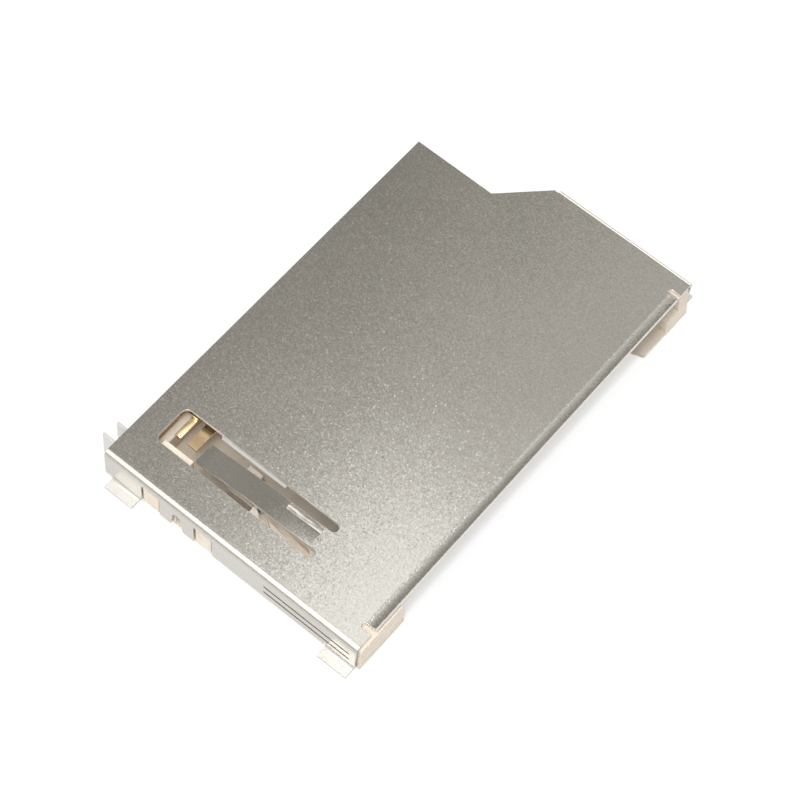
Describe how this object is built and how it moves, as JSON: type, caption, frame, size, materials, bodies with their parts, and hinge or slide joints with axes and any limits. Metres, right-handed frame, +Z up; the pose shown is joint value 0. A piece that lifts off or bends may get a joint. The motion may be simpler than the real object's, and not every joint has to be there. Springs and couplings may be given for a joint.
{
  "type": "sd card socket",
  "caption": "Low push-push memory card socket for a circuit board: folded sheet cover with a sprung tongue over a moulded housing, contact springs, detect switch and sprung ejector slider.",
  "frame": {"origin": "middle of the cover's plan outline on the board plane", "axes": "+X out of the card mouth, +Y along the width from the ejector side to the cut-corner side, +Z up from the board"},
  "size_m": [0.0198, 0.0324, 0.0028],
  "materials": {
    "plated_sheet": "satin tin-nickel plated steel sheet with a fine grain",
    "housing_resin": "cream glass-filled moulding resin",
    "gold_plate": "thin gold plating on copper alloy strip",
    "slider_resin": "cream low-friction moulding resin",
    "spring_steel": "bright drawn spring steel"
  },
  "bodies": {
    "base": {"cover_shell": "plated_sheet", "housing": "housing_resin", "contact_1": "gold_plate", "contact_2": "gold_plate", "contact_3": "gold_plate", "contact_4": "gold_plate", "contact_5": "gold_plate", "contact_6": "gold_plate", "contact_7": "gold_plate", "contact_8": "gold_plate", "contact_9": "gold_plate", "detect_leaf": "gold_plate", "detect_stop": "gold_plate", "eject_spring": "spring_steel"},
    "ejector": {"eject_slider": "slider_resin", "card_lock_leaf": "spring_steel"},
    "cam": {"cam_pin": "spring_steel"}
  },
  "joints": [
    {"name": "slider_travel", "type": "slide", "parent": "base", "child": "ejector", "axis": [-1, 0, 0], "range_m": [0, 0.0036], "stiffness_N_per_m": 150, "springref_m": -0.002, "deforming": ["eject_spring"]},
    {"name": "cam_swing", "type": "hinge", "parent": "base", "child": "cam", "pos_m": [0.0062, -0.01194, 0.00205], "axis": [0, 0, 1], "range_deg": [0, 4.25]}
  ],
  "couplings": [
    {"joint": "cam_swing", "follows": "slider_travel", "rad_per_m": 20.44}
  ]
}
